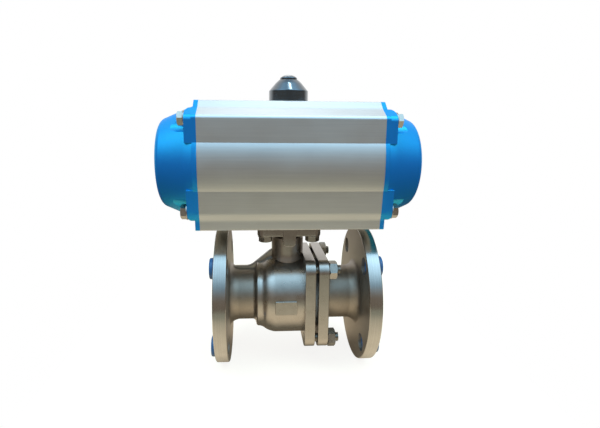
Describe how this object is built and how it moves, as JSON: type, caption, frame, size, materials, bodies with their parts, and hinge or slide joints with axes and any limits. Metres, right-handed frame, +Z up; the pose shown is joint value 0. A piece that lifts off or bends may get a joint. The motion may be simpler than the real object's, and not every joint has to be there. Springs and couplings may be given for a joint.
{
  "type": "pneumatically actuated ball valve",
  "caption": "Double-acting rack-and-pinion quarter-turn pneumatic actuator with domed end caps and a position indicator, bolted to a two-piece flanged ball valve.",
  "frame": {"origin": "where the pipe axis crosses the stem axis, the centre of the ball", "axes": "+X along the pipe towards the bolted end piece, +Z up the stem to the indicator, +Y to the back, where the air ports are"},
  "size_m": [0.273, 0.15, 0.3127],
  "materials": {
    "anodised_aluminium": "satin anodised extrusion",
    "blue_coating": "glossy blue powder coating",
    "black_rubber": "matt",
    "bright_steel": "bright cold-formed stainless",
    "cast_aluminium": "machined casting",
    "ivory_plastic": "moulded acetal",
    "nickel_steel": "nickel-plated steel",
    "black_plastic": "moulded, slightly glossy",
    "cast_stainless": "blasted casting with turned flange rims",
    "turned_stainless": "turned and polished",
    "white_ptfe": "turned",
    "blue_plastic": "moulded polyethylene"
  },
  "bodies": {
    "housing": {"actuator_body": "anodised_aluminium", "left_end_cap": "blue_coating", "right_end_cap": "blue_coating", "left_cap_gasket": "black_rubber", "right_cap_gasket": "black_rubber", "stop_screw_seals": "black_rubber", "end_cap_bolts": "bright_steel", "end_cap_washers": "bright_steel", "stop_screws": "bright_steel", "stop_locknuts": "bright_steel", "body_studs": "bright_steel", "body_nuts": "bright_steel", "pad_bolts": "bright_steel", "pad_washers": "bright_steel", "pinion_top_bush": "ivory_plastic", "pinion_bottom_bush": "ivory_plastic", "thrust_washer": "ivory_plastic", "valve_body": "cast_stainless", "valve_end_piece": "cast_stainless", "gland_ring": "turned_stainless", "left_seat": "white_ptfe", "right_seat": "white_ptfe", "body_gasket": "white_ptfe", "stem_thrust_washer": "white_ptfe", "stem_packing": "white_ptfe", "flange_hole_sleeves": "blue_plastic"},
    "drive_train": {"pinion": "nickel_steel", "stop_cam": "nickel_steel", "snap_ring": "nickel_steel", "backing_washer": "bright_steel", "pinion_top_seal": "black_rubber", "pinion_bottom_seal": "black_rubber", "indicator_housing": "black_plastic", "indicator_button": "black_plastic", "stem": "turned_stainless", "stem_o_ring": "black_rubber", "stem_nut": "bright_steel", "disc_springs": "bright_steel", "ball": "turned_stainless"},
    "left_piston_set": {"left_piston": "cast_aluminium", "left_piston_seal": "black_rubber", "left_guide_band": "ivory_plastic", "left_rack_shoe": "ivory_plastic"},
    "right_piston_set": {"right_piston": "cast_aluminium", "right_piston_seal": "black_rubber", "right_guide_band": "ivory_plastic", "right_rack_shoe": "ivory_plastic"}
  },
  "joints": [
    {"name": "quarter_turn", "type": "hinge", "parent": "housing", "child": "drive_train", "pos_m": [0, 0, 0], "axis": [0, 0, -1], "range_deg": [0, 90]},
    {"name": "left_piston_slide", "type": "slide", "parent": "housing", "child": "left_piston_set", "axis": [1, 0, 0], "range_m": [0, 0.0315]},
    {"name": "right_piston_slide", "type": "slide", "parent": "housing", "child": "right_piston_set", "axis": [-1, 0, 0], "range_m": [0, 0.0315]}
  ],
  "couplings": [
    {"joint": "left_piston_slide", "follows": "quarter_turn", "m_per_rad": 0.02},
    {"joint": "right_piston_slide", "follows": "quarter_turn", "m_per_rad": 0.02}
  ]
}
